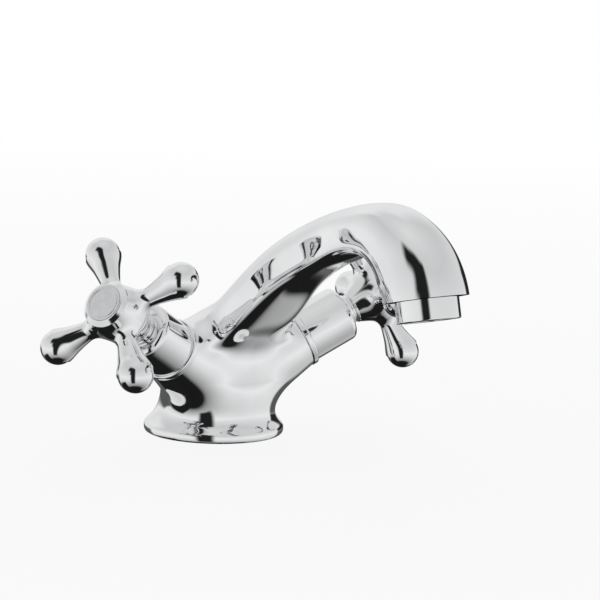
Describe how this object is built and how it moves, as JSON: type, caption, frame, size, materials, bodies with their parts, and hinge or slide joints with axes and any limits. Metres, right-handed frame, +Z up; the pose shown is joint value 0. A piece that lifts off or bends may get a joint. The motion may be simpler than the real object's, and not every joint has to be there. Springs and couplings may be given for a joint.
{
  "type": "basin mixer tap",
  "caption": "Deck-mounted basin mixer tap with an arched cast spout, a flared round foot, swept valve bosses and crosshead handles on ceramic-disc valves.",
  "frame": {"origin": "centre of the foot's underside, where the tap stands on the basin's deck", "axes": "+Z up, -Y the way the spout points, -X the hot valve's side"},
  "size_m": [0.1536, 0.1534, 0.0934],
  "materials": {
    "casting_chrome": "polished chrome plate on cast brass",
    "trim_chrome": "polished chrome plate on turned brass",
    "handle_chrome": "polished chrome plate on cast zinc",
    "index_face": "satin chrome, bare",
    "aerator_chrome": "polished chrome plate on turned brass",
    "jet_plastic": "moulded acetal",
    "screen_steel": "woven stainless mesh",
    "brass": "machined",
    "steel": "plain stainless",
    "ceramic": "lapped alumina",
    "rubber": "moulded"
  },
  "bodies": {
    "tap": {"body_casting": "casting_chrome", "base_gasket": "rubber", "seat_seal_left": "rubber", "seat_seal_right": "rubber", "fixed_disc_left": "ceramic", "fixed_disc_right": "ceramic", "headpart_left": "brass", "headpart_right": "brass", "headpart_washer_left": "rubber", "headpart_washer_right": "rubber", "collar_ring_left": "trim_chrome", "collar_ring_right": "trim_chrome", "bonnet_left": "trim_chrome", "bonnet_right": "trim_chrome", "aerator_housing": "aerator_chrome", "aerator_insert": "jet_plastic", "aerator_screen": "screen_steel", "aerator_washer": "rubber"},
    "hot_handle": {"moving_disc_left": "ceramic", "spindle_left": "brass", "spindle_rings_left": "rubber", "spindle_clip_left": "steel", "handle_left": "handle_chrome", "handle_screw_left": "steel", "index_cap_left": "handle_chrome", "index_disc_left": "index_face"},
    "cold_handle": {"moving_disc_right": "ceramic", "spindle_right": "brass", "spindle_rings_right": "rubber", "spindle_clip_right": "steel", "handle_right": "handle_chrome", "handle_screw_right": "steel", "index_cap_right": "handle_chrome", "index_disc_right": "index_face"}
  },
  "joints": [
    {"name": "hot_valve", "type": "hinge", "parent": "tap", "child": "hot_handle", "pos_m": [0, -0.0019, 0.0175], "axis": [-0.834, -0.283, 0.4736], "range_deg": [0, 90]},
    {"name": "cold_valve", "type": "hinge", "parent": "tap", "child": "cold_handle", "pos_m": [0, -0.0019, 0.0175], "axis": [0.834, -0.283, 0.4736], "range_deg": [-90, 0]}
  ]
}
